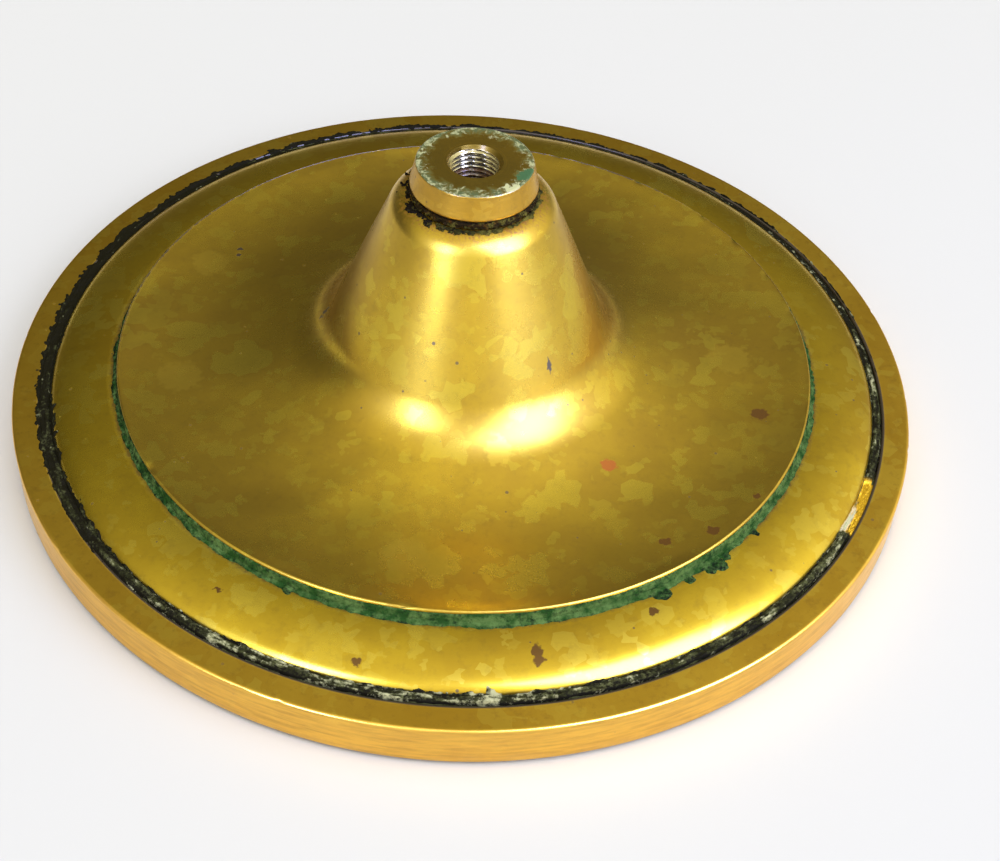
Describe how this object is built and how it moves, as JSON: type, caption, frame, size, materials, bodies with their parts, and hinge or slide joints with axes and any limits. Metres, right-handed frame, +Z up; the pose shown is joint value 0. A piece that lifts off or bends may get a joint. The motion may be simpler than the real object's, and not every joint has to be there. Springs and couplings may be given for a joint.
{
  "type": "screw-together pedestal base",
  "caption": "Round turned brass pedestal base: rim, convex step, dished flange rising in a trumpet-shaped cone to a small tapped collar on top.",
  "frame": {"origin": "centre of the felt's underside, on the surface that the base stands on", "axes": "+Z up along the turned axis, towards the tapped collar; +X to the right of someone facing the front, which is -Y"},
  "size_m": [0.18, 0.18, 0.0602],
  "materials": {
    "rim_brass": "turned brass, brushed on the edge, thin brown tarnish",
    "moulding_brass": "polished cast brass gone dull, pale and dark crystal patches",
    "trumpet_brass": "spun and polished brass with olive tarnish, crystal patches and dark specks",
    "collar_brass": "turned brass, green and white verdigris on the top face",
    "fibre": "perished black fibre washer, crumbly, with grey-green deposit",
    "verdigris": "dry crusted green copper salts and dirt packed in the seams",
    "iron": "rough sand-cast grey iron",
    "plate_steel": "black japanned steel sheet, rubbed",
    "screw_steel": "turned steel screws with a light brown stain",
    "felt": "worn green wool felt"
  },
  "bodies": {
    "base": {"foot_ring": "rim_brass", "step_moulding": "moulding_brass", "trumpet": "trumpet_brass", "ballast_ring": "iron", "ballast_screw_1": "screw_steel", "ballast_screw_2": "screw_steel", "ballast_screw_3": "screw_steel", "base_plate": "plate_steel", "base_screw_1": "screw_steel", "base_screw_2": "screw_steel", "base_screw_3": "screw_steel", "base_screw_4": "screw_steel", "base_screw_5": "screw_steel", "base_screw_6": "screw_steel", "felt_pad": "felt"},
    "washer": {"neck_washer": "fibre"},
    "collar": {"collar_bush": "collar_brass"}
  },
  "joints": [
    {"name": "collar_lift", "type": "slide", "parent": "base", "child": "washer", "axis": [0, 0, 1], "range_m": [0, 0.009]},
    {"name": "collar_turn", "type": "hinge", "parent": "washer", "child": "collar", "pos_m": [0, 0, 0.0552], "axis": [0, 0, 1], "range_deg": [0, 2161]}
  ],
  "couplings": [
    {"joint": "collar_turn", "follows": "collar_lift", "rad_per_m": 4188.8}
  ]
}
